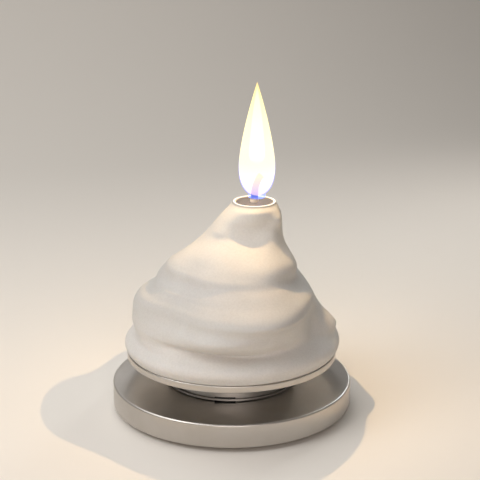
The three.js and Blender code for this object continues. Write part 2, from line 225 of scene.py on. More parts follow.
def mixed_colours(tree, first, second, blend_type="MULTIPLY"):
    """The product of two patterned colours, or their sum with ADD."""
    node = add(tree, "ShaderNodeMix", data_type="RGBA", blend_type=blend_type)
    node.inputs[MIX_FACTOR].default_value = 1.0
    tree.links.new(first, node.inputs[MIX_FIRST])
    tree.links.new(second, node.inputs[MIX_SECOND])
    return node.outputs[MIX_RESULT]


def position(tree):
    return add(tree, "ShaderNodeTexCoord").outputs["Object"]


def noise_at(tree, where, scale, detail=3.0, roughness=0.5, distortion=0.0):
    values = {
        "Vector": where,
        "Scale": scale,
        "Detail": detail,
        "Roughness": roughness,
        "Distortion": distortion,
    }
    return add(tree, "ShaderNodeTexNoise", values).outputs["Fac"]


def spread(tree, factor, low, high):
    """Maps a 0 to 1 pattern onto low to high."""
    values = {"Value": factor, "To Min": low, "To Max": high}
    return add(tree, "ShaderNodeMapRange", values).outputs["Result"]


def height_share(tree, where, bottom, top):
    """0 at a height of bottom and 1 at top, in millimetres."""
    z = add(tree, "ShaderNodeSeparateXYZ", {"Vector": where}).outputs["Z"]
    values = {"Value": z, "From Min": bottom * MM, "From Max": top * MM}
    return add(tree, "ShaderNodeMapRange", values).outputs["Result"]


def bump(tree, height, distance_mm, strength=1.0):
    values = {"Height": height, "Distance": distance_mm * MM, "Strength": strength}
    return add(tree, "ShaderNodeBump", values).outputs["Normal"]


def axis_distance(tree, where):
    """Distance from the upright axis, in metres."""
    kind = "ShaderNodeVectorMath"
    flat = add(tree, kind, {0: where, 1: (1, 1, 0)}, operation="MULTIPLY")
    length = add(tree, kind, {0: flat.outputs["Vector"]}, operation="LENGTH")
    return length.outputs["Value"]


# ---------------------------------------------------------------- materials


def turned_steel(name, base, roughness, anisotropy, brushed_up=False, painted_bright_face=None):
    """Satin steel with fine tool rings. With brushed_up they lie one above another on an
    upright wall. With painted_bright_face, the face at that height gets a painted highlight: it
    is coloured brighter than the sides."""
    material, tree, output = new_material(name)
    where = position(tree)
    radial = axis_distance(tree, where)
    z = add(tree, "ShaderNodeSeparateXYZ", {"Vector": where}).outputs["Z"]
    line_along = z if brushed_up else radial
    rings = add(
        tree,
        "ShaderNodeTexNoise",
        {"W": line_along, "Scale": 9000.0, "Detail": 2.0, "Roughness": 0.7},
        noise_dimensions="1D",
    ).outputs["Fac"]
    cloud = noise_at(tree, where, 60.0, 4.0, 0.6)
    smear = noise_at(tree, where, 320.0, 3.0, 0.6, 0.4)
    tone = ramp(
        tree,
        cloud,
        [
            (0.3, colour(base[0] * 0.94, base[1] * 0.94, base[2] * 0.93)),
            (0.5, colour(*base)),
            (0.7, colour(base[0] * 1.04, base[1] * 1.05, base[2] * 1.06)),
        ],
    )
    # Painted highlight: the upper face is coloured brighter than the sides, which the factor
    # darkens.
    if painted_bright_face:
        blend_from, blend_to = painted_bright_face - 0.12, painted_bright_face - 0.02
        painted_face_share = height_share(tree, where, blend_from, blend_to)
        side = colour(SIDE_TO_PAINTED_BRIGHT_FACE, SIDE_TO_PAINTED_BRIGHT_FACE, SIDE_TO_PAINTED_BRIGHT_FACE)
        painted_face_highlight = ramp(tree, painted_face_share, [(0.0, side), (1.0, colour(1.0, 1.0, 1.0))])
        tone = mixed_colours(tree, tone, painted_face_highlight)
    rough_cloud = spread(tree, smear, roughness - 0.05, roughness + 0.06)
    tangent = add(tree, "ShaderNodeTangent", direction_type="RADIAL", axis="Z")
    shader = add(
        tree,
        "ShaderNodeBsdfPrincipled",
        {
            "Base Color": tone,
            "Metallic": 1.0,
            "Roughness": rough_cloud,
            "Anisotropic": anisotropy,
            "Tangent": tangent.outputs["Tangent"],
            "Normal": bump(tree, rings, 0.004, 0.5),
        },
    )
    tree.links.new(shader.outputs["BSDF"], output.inputs["Surface"])
    return material


def plain_metal(name, base, roughness, scale=900.0):
    """Fastener or sheet metal with a fine grain and a few darker spots."""
    material, tree, output = new_material(name)
    where = position(tree)
    grain = noise_at(tree, where, scale, 4.0, 0.6)
    tone = ramp(
        tree,
        grain,
        [
            (0.35, colour(base[0] * 0.8, base[1] * 0.8, base[2] * 0.8)),
            (0.6, colour(*base)),
        ],
    )
    shader = add(
        tree,
        "ShaderNodeBsdfPrincipled",
        {
            "Base Color": tone,
            "Metallic": 1.0,
            "Roughness": spread(tree, grain, roughness - 0.08, roughness + 0.1),
            "Normal": bump(tree, grain, 0.01, 0.4),
        },
    )
    tree.links.new(shader.outputs["BSDF"], output.inputs["Surface"])
    return material


def black_mark_material():
    """Matt black filling with a fine grain."""
    material, tree, output = new_material("black_mark")
    where = position(tree)
    grain = noise_at(tree, where, 2500.0, 3.0, 0.6)
    tone = ramp(
        tree,
        grain,
        [(0.3, colour(0.004, 0.004, 0.004)), (0.75, colour(0.02, 0.019, 0.018))],
    )
    shader = add(
        tree,
        "ShaderNodeBsdfPrincipled",
        {
            "Base Color": tone,
            "Roughness": spread(tree, grain, 0.5, 0.7),
            "Normal": bump(tree, grain, 0.01, 0.4),
        },
    )
    tree.links.new(shader.outputs["BSDF"], output.inputs["Surface"])
    return material


def clear_rubber_material():
    """Cloudy, mostly clear rubber."""
    material, tree, output = new_material("clear_rubber")
    where = position(tree)
    cloud = noise_at(tree, where, 700.0, 3.0, 0.55)
    tone = ramp(
        tree,
        cloud,
        [(0.3, colour(0.80, 0.76, 0.69)), (0.7, colour(0.90, 0.87, 0.81))],
    )
    shader = add(
        tree,
        "ShaderNodeBsdfPrincipled",
        {
            "Base Color": tone,
            "Roughness": spread(tree, cloud, 0.12, 0.25),
            "IOR": 1.45,
            "Transmission Weight": 0.6,
            "Normal": bump(tree, cloud, 0.02, 0.3),
        },
    )
    tree.links.new(shader.outputs["BSDF"], output.inputs["Surface"])
    return material


def wax_material():
    """Matt, slightly translucent wax with a fine grain and paler swirls. It has painted shade
    under the lip, painted flame light on its lip and its upper part, and painted light and
    shade that make it brighter towards the foot and darker about mid-height."""
    material, tree, output = new_material("wax")
    where = position(tree)
    painted_shade_band = (RIM_TOP - 2.2, RIM_TOP - 0.2)
    painted_lip_light_band = (RIM_TOP - 0.4, RIM_TOP)
    painted_flame_glow_band = (RIM_TOP - 26.0, RIM_TOP)
    swirl = noise_at(tree, where, 55.0, 5.0, 0.6, 0.8)
    grain = noise_at(tree, where, 1500.0, 3.0, 0.7)
    pits = noise_at(tree, where, 420.0, 3.0, 0.6)
    tone = ramp(
        tree,
        swirl,
        [
            (0.30, colour(0.625, 0.597, 0.553)),
            (0.50, colour(0.645, 0.617, 0.574)),
            (0.72, colour(0.665, 0.640, 0.598)),
        ],
    )
    speckle = ramp(
        tree,
        grain,
        [(0.3, colour(0.93, 0.925, 0.92)), (0.6, colour(1.0, 1.0, 1.0))],
    )
    # Painted shade: the wax is darkened in a band just under the lip.
    painted_shade_under_lip = ramp(
        tree,
        height_share(tree, where, *painted_shade_band),
        [
            (0.25, colour(1.0, 1.0, 1.0)),
            (0.70, colour(0.90, 0.90, 0.90)),
            (0.90, colour(0.66, 0.66, 0.68)),
        ],
    )
    # Painted light and shade: the wax is brighter towards the foot and darker about mid-height.
    painted_height_shading = ramp(
        tree,
        height_share(tree, where, PLATE_TOP, RIM_TOP),
        [
            (0.18, colour(1.07, 1.07, 1.08)),
            (0.36, colour(0.94, 0.94, 0.94)),
            (0.55, colour(0.94, 0.94, 0.95)),
            (0.70, colour(1.0, 1.0, 1.0)),
        ],
    )
    mixed = mixed_colours(tree, mixed_colours(tree, tone, speckle), painted_shade_under_lip)
    mixed = mixed_colours(tree, mixed, painted_height_shading)
    fine = bump(tree, grain, 0.03, 0.35)
    coarse = add(
        tree,
        "ShaderNodeBump",
        {"Height": pits, "Distance": 0.12 * MM, "Strength": 0.35, "Normal": fine},
    ).outputs["Normal"]
    # Painted light: the lip glows pale, as if brightly lit by the nearby flame.
    painted_lip_light = ramp(
        tree,
        height_share(tree, where, *painted_lip_light_band),
        [(0.66, colour(0.0, 0.0, 0.0)), (0.92, colour(0.85, 0.83, 0.80))],
    )
    # Painted light: the upper part of the wax glows warm, as if lit by the flame.
    painted_flame_glow = ramp(
        tree,
        height_share(tree, where, *painted_flame_glow_band),
        [
            (0.10, colour(0.0, 0.0, 0.0)),
            (0.42, colour(0.055, 0.038, 0.020)),
            (1.0, colour(0.055, 0.040, 0.022)),
        ],
    )
    shader = add(
        tree,
        "ShaderNodeBsdfPrincipled",
        {
            "Base Color": mixed,
            "Roughness": spread(tree, swirl, 0.48, 0.62),
            "Subsurface Weight": 0.08,
            "Subsurface Radius": (1.0, 0.6, 0.35),
            "Subsurface Scale": 0.5 * MM,
            "Specular IOR Level": 0.35,
            "Emission Color": mixed_colours(tree, painted_lip_light, painted_flame_glow, "ADD"),
            "Emission Strength": 1.0,
            "Normal": coarse,
        },
    )
    tree.links.new(shader.outputs["BSDF"], output.inputs["Surface"])
    return material


def liquid_wax_material():
    """Glossy, nearly still liquid. It looks dark, as the photo's pool does."""
    material, tree, output = new_material("liquid_wax")
    where = position(tree)
    drift = noise_at(tree, where, 260.0, 3.0, 0.5, 0.6)
    tone = ramp(
        tree,
        drift,
        [(0.3, colour(0.120, 0.122, 0.146)), (0.7, colour(0.130, 0.130, 0.155))],
    )
    shader = add(
        tree,
        "ShaderNodeBsdfPrincipled",
        {
            "Base Color": tone,
            "Roughness": spread(tree, drift, 0.10, 0.16),
            "IOR": 1.45,
            "Specular IOR Level": 0.5,
            "Normal": bump(tree, drift, 0.01, 0.15),
        },
    )
    tree.links.new(shader.outputs["BSDF"], output.inputs["Surface"])
    return material


def wick_material():
    """Waxed cream cotton at the pool, charred black above it, with a faint glow on top."""
    material, tree, output = new_material("wick_cotton")
    where = position(tree)
    seen_band = (POOL_TOP - 1.0, POOL_TOP + 9.7)
    share = height_share(tree, where, *seen_band)
    fibre = noise_at(tree, where, 3200.0, 4.0, 0.7)
    ragged = spread(tree, fibre, -0.03, 0.03)
    edge = add(tree, "ShaderNodeMath", {0: share, 1: ragged}, operation="ADD")
    tone = ramp(
        tree,
        edge.outputs["Value"],
        [
            (0.0, colour(0.86, 0.76, 0.63)),
            (0.19, colour(0.84, 0.73, 0.60)),
            (0.23, colour(0.30, 0.17, 0.10)),
            (0.27, colour(0.05, 0.032, 0.022)),
            (0.55, colour(0.012, 0.010, 0.009)),
            (1.0, colour(0.020, 0.014, 0.010)),
        ],
    )
    glow = ramp(
        tree,
        edge.outputs["Value"],
        [(0.80, colour(0.0, 0.0, 0.0)), (1.0, colour(0.30, 0.10, 0.03))],
    )
    shader = add(
        tree,
        "ShaderNodeBsdfPrincipled",
        {
            "Base Color": tone,
            "Roughness": spread(tree, fibre, 0.6, 0.95),
            "Emission Color": glow,
            "Emission Strength": 1.0,
            "Normal": bump(tree, fibre, 0.05, 0.6),
        },
    )
    tree.links.new(shader.outputs["BSDF"], output.inputs["Surface"])
    return material


def flame_material(name, bottom, top, light_stops, cover_stops):
    """A thin sheet of glowing gas: what is behind it shows through its cover."""
    material, tree, output = new_material(name)
    where = position(tree)
    share = height_share(tree, where, bottom, top)
    light = add(tree, "ShaderNodeEmission", {"Color": ramp(tree, share, light_stops)})
    cover = ramp(tree, share, [(s, colour(c, c, c)) for s, c in cover_stops])
    clear = add(tree, "ShaderNodeBsdfTransparent")
    mixed = add(
        tree,
        "ShaderNodeMixShader",
        {0: cover, 1: clear.outputs["BSDF"], 2: light.outputs["Emission"]},
    )
    tree.links.new(mixed.outputs["Shader"], output.inputs["Surface"])
    return material


# ---------------------------------------------------------------- wax shape

# Sections of the slumped wax, from the plate up: height, then how far the wax reaches to
# the left, right, front and back. They are the CAD's, with the foot and the lip drawn in.
WAX_SECTIONS = [
    (WAX_SEAT_GAP, -34.6, 34.6, 34.6, 34.6),
    (1.0, -35.3, 35.5, 35.2, 35.3),
    (3.0, -35.7, 36.1, 36.2, 36.1),
    (4.8, -34.4, 35.4, 35.8, 35.6),
    (6.6, -32.4, 33.2, 33.5, 34.9),
    (8.6, -31.8, 30.8, 31.0, 33.4),
    (11.5, -32.8, 29.3, 32.7, 32.9),
    (15.0, -32.5, 28.6, 33.8, 32.5),
    (18.2, -31.4, 27.4, 33.6, 31.4),
    (20.2, -29.8, 26.3, 32.4, 29.8),
    (22.0, -27.0, 25.2, 30.8, 28.5),
    (23.8, -24.7, 24.0, 28.8, 27.2),
    (26.0, -23.1, 22.4, 26.5, 25.6),
    (28.0, -22.0, 20.8, 24.6, 23.8),
    (29.9, -20.7, 19.4, 23.4, 22.0),
    (31.4, -18.5, 18.6, 22.1, 20.0),
    (33.5, -15.4, 17.9, 20.2, 17.8),
    (36.5, -11.8, 17.2, 17.0, 14.8),
    (39.3, -9.1, 16.8, 13.7, 12.6),
    (41.5, -7.2, 16.7, 11.3, 11.2),
    (44.0, -5.2, 16.6, 10.0, 10.4),
    (46.6, -2.9, 16.3, 9.7, 9.9),
    (48.7, -0.9, 15.5, 9.0, 9.0),
    (50.0, 0.2, 14.8, 7.5, 7.6),
    (WAX_HEIGHT, 0.7, 14.3, 6.6, 6.8),
]
LEFT, RIGHT, FRONT, BACK = 1, 2, 3, 4

# Folds and swellings: height, azimuth and span in degrees, climb with the azimuth, how far
# it stands out, and how softly it fades upwards and downwards. A negative lip is a dent.
WAX_FOLDS = [
    (8.0, 28, 16, 0.0, 2.0, 4.0, 3.0),
    (8.2, -146, 20, 0.0, 1.5, 2.4, 1.8),
    (8.2, -90, 30, -2.0, -1.5, 0.9, 1.3),
    (9.2, -2, 18, 0.0, 4.4, 4.4, 2.4),
    (9.8, 180, 50, 0.0, 0.4, 3.0, 1.0),
    (12.0, -26, 9, 0.0, -1.6, 6.0, 4.0),
    (12.4, -88, 42, 0.0, 2.4, 3.6, 2.6),
    (14.2, -96, 20, 0.0, 1.8, 1.6, 2.4),
    (17.0, 180, 22, 0.0, 0.6, 3.0, 3.0),
    (18.0, 142, 13, 0.0, -4.5, 12.0, 6.0),
    (18.5, -126, 24, 0.0, -4.2, 12.0, 7.0),
    (19.5, -63, 24, 0.0, 5.7, 5.4, 3.5),
    (22.0, -28, 22, 0.0, 2.6, 4.0, 3.6),
    (24.2, -148, 26, 0.0, 1.7, 1.9, 4.2),
    (24.5, -120, 20, 0.0, 1.0, 2.5, 3.5),
    (26.0, 172, 16, 0.0, 1.1, 2.4, 2.4),
    (26.4, -62, 26, 0.0, 2.2, 3.0, 3.6),
    (31.8, -58, 23, 0.0, 3.2, 5.0, 4.4),
    (32.0, -27, 20, -1.0, 3.9, 6.0, 3.6),
    (32.4, -164, 26, 0.0, 1.5, 4.2, 3.0),
    (36.0, -136, 28, 0.0, 1.1, 3.8, 3.6),
    (41.0, -52, 19, 0.0, 1.8, 2.5, 6.0),
    (42.4, -135, 22, 0.0, 1.1, 4.4, 2.0),
    (45.4, -36, 17, 0.0, 1.5, 2.8, 2.4),
]


def section_slope(column, i):
    low = max(i - 1, 0)
    high = min(i + 1, len(WAX_SECTIONS) - 1)
    rise = WAX_SECTIONS[high][0] - WAX_SECTIONS[low][0]
    return (WAX_SECTIONS[high][column] - WAX_SECTIONS[low][column]) / rise


def column_at(column, height):
    """The value at a height of a smooth curve through one column of the sections."""
    i = 0
    while i < len(WAX_SECTIONS) - 2 and height > WAX_SECTIONS[i + 1][0]:
        i += 1
    span = WAX_SECTIONS[i + 1][0] - WAX_SECTIONS[i][0]
    t = (height - WAX_SECTIONS[i][0]) / span
    start = (2 * t**3 - 3 * t**2 + 1) * WAX_SECTIONS[i][column]
    leave = (t**3 - 2 * t**2 + t) * span * section_slope(column, i)
    end = (3 * t**2 - 2 * t**3) * WAX_SECTIONS[i + 1][column]
    arrive = (t**3 - t**2) * span * section_slope(column, i + 1)
    return start + leave + end + arrive


def fold_at(fold, angle, height):
    """How far one fold stands out at an angle and a height."""
    fold_height, azimuth, span, climb, lip, above, below = fold
    offset = angle - math.radians(azimuth)
    turn = math.atan2(math.sin(offset), math.cos(offset))
    rise = height - (fold_height + climb * turn)
    softness = above if rise > 0 else below
    return lip * math.exp(-((rise / softness) ** 2) - (turn / math.radians(span)) ** 2)


def wax_row(height):
    """One closed row of the wax surface, (x, y) for each sector."""
    left, right = column_at(LEFT, height), column_at(RIGHT, height)
    front, back = column_at(FRONT, height), column_at(BACK, height)
    centre = (left + right) / 2
    half_width = right - centre
    row = []
    for i in range(WAX_SECTORS):
        angle = -math.pi + 2 * math.pi * i / WAX_SECTORS
        c, s = math.cos(angle), math.sin(angle)
        half_depth = front if s < 0 else back
        radius = half_width * half_depth / math.hypot(half_depth * c, half_width * s)
        for fold in WAX_FOLDS:
            radius += fold_at(fold, angle, height)
        row.append((centre + radius * c, radius * s))
    return row


def rim_centre():
    return (column_at(LEFT, WAX_HEIGHT) + column_at(RIGHT, WAX_HEIGHT)) / 2


def wax_visual():
    """The wax as one closed mesh: underside, slumped flank, rounded lip and cup."""
    bottom = WAX_SEAT_GAP
    top = WAX_HEIGHT - LIP_ROUNDING
    rows = []
    for i in range(WAX_LEVELS + 1):
        height = bottom + (top - bottom) * i / WAX_LEVELS
        rows.append([(x, y, height) for x, y in wax_row(height)])
    centre = rim_centre()
    outer = rows[-1]
    for step in range(1, LIP_STEPS + 1):
        angle = math.pi * step / LIP_STEPS
        across = (1 - math.cos(angle)) / 2
        lift = LIP_ROUNDING * math.sin(angle)
        row = []
        for x, y, _ in outer:
            length = math.hypot(x - centre, y)
            radius = length + (CUP_RADIUS - length) * across
            row.append((centre + (x - centre) / length * radius, y / length * radius, top + lift))
        rows.append(row)
    floor_height = WAX_HEIGHT - CUP_DEPTH
    cup = arc(CUP_RADIUS - CUP_CORNER, floor_height + CUP_CORNER, CUP_CORNER, 0, -90, 8)
    cup += [(CUP_FLOOR_FLAT_FROM, floor_height)]
    for radius, height in cup:
        row = []
        for x, y, _ in outer:
            length = math.hypot(x - centre, y)
            row.append((centre + (x - centre) / length * radius, y / length * radius, height))
        rows.append(row)
    vertices = [(x, y, PLATE_TOP + h) for row in rows for x, y, h in row]
    faces = []
    for k in range(len(rows) - 1):
        for i in range(WAX_SECTORS):
            j = (i + 1) % WAX_SECTORS
            a, b = k * WAX_SECTORS, (k + 1) * WAX_SECTORS
            faces.append((a + i, a + j, b + j, b + i))
    cup_middle = len(vertices)
    vertices.append((centre, 0.0, PLATE_TOP + floor_height))
    under_middle = len(vertices)
    vertices.append((0.0, 0.0, PLATE_TOP + bottom))
    last = (len(rows) - 1) * WAX_SECTORS
    for i in range(WAX_SECTORS):
        j = (i + 1) % WAX_SECTORS
        faces.append((last + i, last + j, cup_middle))
        faces.append((j, i, under_middle))
    return mesh_object("wax_visual", vertices, faces, 60.0)


# ---------------------------------------------------------------- stand shapes


def base_visual():
    """The base disc, with its counterbore and its screw hole."""
    lower = BASE_LOWER_ROUNDING
    upper = BASE_BEVEL
    step = BASE_BOTTOM + COUNTERBORE_DEPTH
    outline = [(COUNTERBORE_RADIUS, BASE_BOTTOM), (BASE_RADIUS - lower, BASE_BOTTOM)]
    outline += arc(BASE_RADIUS - lower, BASE_BOTTOM + lower, lower, -90, 0, 6)[1:]
    outline += arc(BASE_RADIUS - upper, BASE_TOP - upper, upper, 0, 90, 12)
    outline += [(BASE_SCREW_HOLE_RADIUS, BASE_TOP), (BASE_SCREW_HOLE_RADIUS, step)]
    outline += [(COUNTERBORE_RADIUS, step)]
    return turned("base_visual", outline, ring=True)


def hub_visual():
    """The hub: a blind screw hole, a boss, the thin ring, the groove and the wall."""
    groove = HUB_WALL_RADIUS - HUB_GROOVE_DEPTH
    chamfer = HUB_RING_LOWER_CHAMFER
    rounding = HUB_RING_ROUNDING
    outline = [
        (0.0, BASE_TOP + HUB_SCREW_HOLE_DEPTH),
        (HUB_SCREW_HOLE_RADIUS, BASE_TOP + HUB_SCREW_HOLE_DEPTH),
        (HUB_SCREW_HOLE_RADIUS, BASE_TOP),
        (HUB_BOSS_RADIUS, BASE_TOP),
        (HUB_BOSS_RADIUS, HUB_GAP_TOP),
        (HUB_RING_RADIUS - chamfer, HUB_GAP_TOP),
        (HUB_RING_RADIUS, HUB_GAP_TOP + chamfer),
    ]
    outline += arc(HUB_RING_RADIUS - rounding, HUB_RING_TOP - rounding, rounding, 0, 90, 4)
    outline += [
        (groove, HUB_RING_TOP),
        (groove, HUB_GROOVE_TOP),
        (HUB_WALL_RADIUS, HUB_GROOVE_TOP),
        (HUB_WALL_RADIUS, PLATE_BOTTOM),
        (0.0, PLATE_BOTTOM),
    ]
    return turned("hub_visual", outline)


def plate_visual():
    """The drip plate, rounded below and bevelled above."""
    lower = PLATE_LOWER_ROUNDING
    upper = PLATE_BEVEL
    outline = [(0.0, PLATE_BOTTOM)]
    outline += arc(PLATE_RADIUS - lower, PLATE_BOTTOM + lower, lower, -90, 0, 4)
    outline += arc(PLATE_RADIUS - upper, PLATE_TOP - upper, upper, 0, 90, 8)
    outline += [(0.0, PLATE_TOP)]
    return turned("plate_visual", outline)


# ---------------------------------------------------------------- pool, wick and flame


def pool_visual():
    """The liquid wax, drawn up a little where it meets the wall and the wick."""
    radius = CUP_RADIUS - POOL_GAP
    bottom = RIM_TOP - CUP_DEPTH + POOL_GAP
    outline = [(0.0, bottom)]
    outline += arc(radius - CUP_CORNER, bottom + CUP_CORNER, CUP_CORNER, -90, 0, 8)
    steps = 24
    wall_rise, wall_reach = 0.28, 0.45
    wick_rise, wick_reach = 0.25, 0.5
    level = POOL_TOP - 0.05
    for i in range(steps + 1):
        r = radius * (1 - i / steps)
        rise = wall_rise * math.exp(-(((radius - r) / wall_reach) ** 2))
        rise += wick_rise * math.exp(-((max(r - WICK_RADIUS, 0.0) / wick_reach) ** 2))
        outline.append((r, level + rise))
    return turned("pool_visual", outline, rim_centre(), 128, sharp_deg=60.0)


# The middle of the wick, (x, height), from its tab to its bent tip.
WICK_PATH = [
    (0.0, PLATE_TOP + 0.9),
    (0.2, PLATE_TOP + 12),
    (1.3, PLATE_TOP + 25),
    (3.9, PLATE_TOP + 37),
    (6.6, PLATE_TOP + 46),
    (7.4, RIM_TOP - 0.6),
    (7.6, RIM_TOP + 2.9),
    (8.0, RIM_TOP + 5.2),
    (8.9, RIM_TOP + 7.4),
    (9.8, RIM_TOP + 8.6),
]


def wick_point(t):
    """A point of the smooth wick path, t from 0 to 1, and its direction."""
    spans = len(WICK_PATH) - 1
    i = min(int(t * spans), spans - 1)
    u = t * spans - i
    p = [Vector(WICK_PATH[min(max(k, 0), spans)]) for k in range(i - 1, i + 3)]
    place = (
        p[1] * 2
        + (p[2] - p[0]) * u
        + (p[0] * 2 - p[1] * 5 + p[2] * 4 - p[3]) * u**2
        + (p[1] * 3 - p[0] - p[2] * 3 + p[3]) * u**3
    ) * 0.5
    slope = (
        (p[2] - p[0])
        + (p[0] * 2 - p[1] * 5 + p[2] * 4 - p[3]) * (2 * u)
        + (p[1] * 3 - p[0] - p[2] * 3 + p[3]) * (3 * u**2)
    )
    return place, slope.normalized()


def wick_visual():
    """A braided cord, a little swollen with wax at the pool and shrunk above it."""
    steps, sides = 260, 32
    strands, twists = 4, 44
    swelling, swollen_at, swollen_over = 0.16, POOL_TOP + 0.4, 0.9
    shrinking, shrunk_from, shrunk_over = 0.16, POOL_TOP + 1.0, 8.5
    closing_from, closing_by, tip_rise = 0.985, 0.5, 0.1
    braid_depth, fray_depth, smoothed_at_foot = 0.028, 0.05, 0.8
    vertices = []
    for k in range(steps + 1):
        t = k / steps
        (x, z), (dx, dz) = wick_point(t)
        foot = math.exp(-(((z - swollen_at) / swollen_over) ** 2))
        above = min(max((z - shrunk_from) / shrunk_over, 0.0), 1.0)
        radius = WICK_RADIUS + swelling * foot - shrinking * above
        tip = min(max((t - closing_from) / (1.0 - closing_from), 0.0), 1.0)
        closing = 1.0 - closing_by * tip**2
        for j in range(sides):
            angle = 2 * math.pi * j / sides
            turn = math.pi * twists * t
            braid = math.cos(strands * angle + turn) + math.cos(strands * angle - turn)
            fray = noise.noise(Vector((math.cos(angle) * 2, math.sin(angle) * 2, z * 1.6)))
            relief = (braid_depth * braid + fray_depth * fray) * (1 - smoothed_at_foot * foot)
            r = radius * closing * (1 + relief)
            across, depth = r * math.cos(angle), r * math.sin(angle)
            vertices.append((x + across * dz, depth, z - across * dx))
    faces = []
    for k in range(steps):
        for j in range(sides):
            n = (j + 1) % sides
            a, b = k * sides, (k + 1) * sides
            faces.append((a + j, a + n, b + n, b + j))
    (x, z), _ = wick_point(0.0)
    faces += [((j + 1) % sides, j, len(vertices)) for j in range(sides)]
    vertices.append((x, 0.0, z))
    (x, z), (dx, dz) = wick_point(1.0)
    top = steps * sides
    faces += [(top + j, top + (j + 1) % sides, len(vertices)) for j in range(sides)]
    vertices.append((x + tip_rise * dx, 0.0, z + tip_rise * dz))
    return mesh_object("wick_visual", vertices, faces, 80.0)


def flame_radius(share):
    """The flame's half width: a round foot below its widest level, a long taper above."""
    foot_power, taper_power = 2.5, 1.42
    if share < FLAME_WIDEST_AT:
        below = (FLAME_WIDEST_AT - share) / FLAME_WIDEST_AT
        return FLAME_BODY_RADIUS * math.sqrt(max(1 - below**foot_power, 0.0))
    above = (share - FLAME_WIDEST_AT) / (1 - FLAME_WIDEST_AT)
    return FLAME_BODY_RADIUS * (1 - above**taper_power)


def flame_shell(name, bottom, top, half_width):
    """A closed sheet of gas about the flame's axis. half_width gives it by height."""
    steps = 72
    outline = [(0.0, bottom)]
    for i in range(1, steps):
        share = (1 - math.cos(math.pi * i / steps)) / 2
        z = bottom + (top - bottom) * share
        outline.append((half_width(z, share), z))
    outline.append((0.0, top))
    return turned(name, outline, FLAME_CENTRE_X, 96, sharp_deg=180.0)


def body_share(z):
    """0 at the foot of the flame's body and 1 at its tip."""
    return (z - FLAME_BODY_BOTTOM) / (FLAME_TOP - FLAME_BODY_BOTTOM)


def body_width(z, _share):
    return flame_radius(body_share(z))


def core_width(_z, share):
    foot_share, taper_power = 0.12, 1.7
    foot = min(share / foot_share, 1.0)
    return FLAME_CORE_RADIUS * math.sqrt(1 - (1 - foot) ** 2) * (1 - share**taper_power)


def mantle_width(z, share):
    """A blue skin just outside the body, with a wider foot about the wick."""
    foot_share, foot_radius = 0.03, 2.4
    skin_at_foot, skin_at_top = 0.34, 0.02
    inside = flame_radius(max(body_share(z), 0.004))
    foot = math.sqrt(min(share / foot_share, 1.0))
    return (max(inside, foot_radius) + skin_at_foot * (1 - share) + skin_at_top) * foot


# ---------------------------------------------------------------- build the pieces

steel = turned_steel("satin_steel", (0.56, 0.53, 0.495), 0.34, 0.55)
# The base gets a brighter copy of the steel, with its upper face a painted highlight.
painted_highlight_base_steel = turned_steel(
    "satin_steel_base_painted_highlight", (0.72, 0.68, 0.635), 0.34, 0.55, painted_bright_face=BASE_TOP
)
# The hub wall gets a darker copy of the steel: painted shade under the plate.
painted_shade_wall_steel = turned_steel("satin_steel_wall_painted_shade", (0.37, 0.355, 0.335), 0.48, 0.3, True)

base_piece = piece(base_visual(), painted_highlight_base_steel, ["base_disc"])
piece(hub_visual(), painted_shade_wall_steel, ["hub"])
piece(plate_visual(), steel, ["drip_plate"])
piece(wax_visual(), wax_material(), ["wax_body"])
piece(pool_visual(), liquid_wax_material(), ["melt_pool"])
wick = piece(wick_visual(), wick_material(), ["wick"])
wick.visible_shadow = False

# The three sheets of the flame. Each light and cover runs from the foot, 0, to the tip, 1.
flame_body = flame_shell("flame_body", FLAME_BODY_BOTTOM, FLAME_TOP, body_width)
body_light = [
    (0.00, colour(2.20, 1.24, 0.30)),
    (0.05, colour(2.40, 1.55, 0.65)),
    (0.09, colour(2.30, 1.70, 0.80)),
    (0.15, colour(2.10, 1.70, 0.80)),
    (0.30, colour(1.85, 1.65, 0.82)),
    (0.45, colour(1.90, 1.70, 0.96)),
    (0.66, colour(1.85, 1.65, 0.86)),
    (0.85, colour(1.80, 1.55, 0.68)),
    (1.00, colour(1.60, 1.10, 0.40)),
]
body_cover = [(0.0, 0.36), (0.08, 0.44), (0.2, 0.6), (1.0, 0.62)]
piece(
    flame_body,
    flame_material("flame_body", FLAME_BODY_BOTTOM, FLAME_TOP, body_light, body_cover),
    ["flame"],
)

flame_core = flame_shell("flame_core", FLAME_CORE_BOTTOM, FLAME_CORE_TOP, core_width)
core_light = [(0.0, colour(1.5, 1.5, 1.45)), (1.0, colour(1.6, 1.55, 1.3))]
core_cover = [(0.0, 0.0), (0.06, 0.45), (0.9, 0.5), (1.0, 0.1)]
piece(
    flame_core,
    flame_material(
        "flame_core", FLAME_CORE_BOTTOM, FLAME_CORE_TOP, core_light, core_cover
    ),
)

flame_mantle = flame_shell(
    "flame_mantle", FLAME_MANTLE_BOTTOM, FLAME_MANTLE_TOP, mantle_width
)
mantle_light = [
    (0.00, colour(0.42, 0.85, 3.4)),
    (0.12, colour(0.40, 0.70, 3.2)),
    (0.45, colour(0.50, 0.60, 2.4)),
    (1.00, colour(0.60, 0.60, 1.2)),
]
mantle_cover = [(0.0, 0.28), (0.15, 0.24), (0.5, 0.12), (1.0, 0.0)]
piece(
    flame_mantle,
    flame_material(
        "flame_mantle", FLAME_MANTLE_BOTTOM, FLAME_MANTLE_TOP, mantle_light, mantle_cover
    ),
)
# The point light inside the flame does the lighting, so the sheets only show themselves.
for shell in (flame_body, flame_core, flame_mantle):
    shell.visible_shadow = False
    shell.visible_diffuse = False

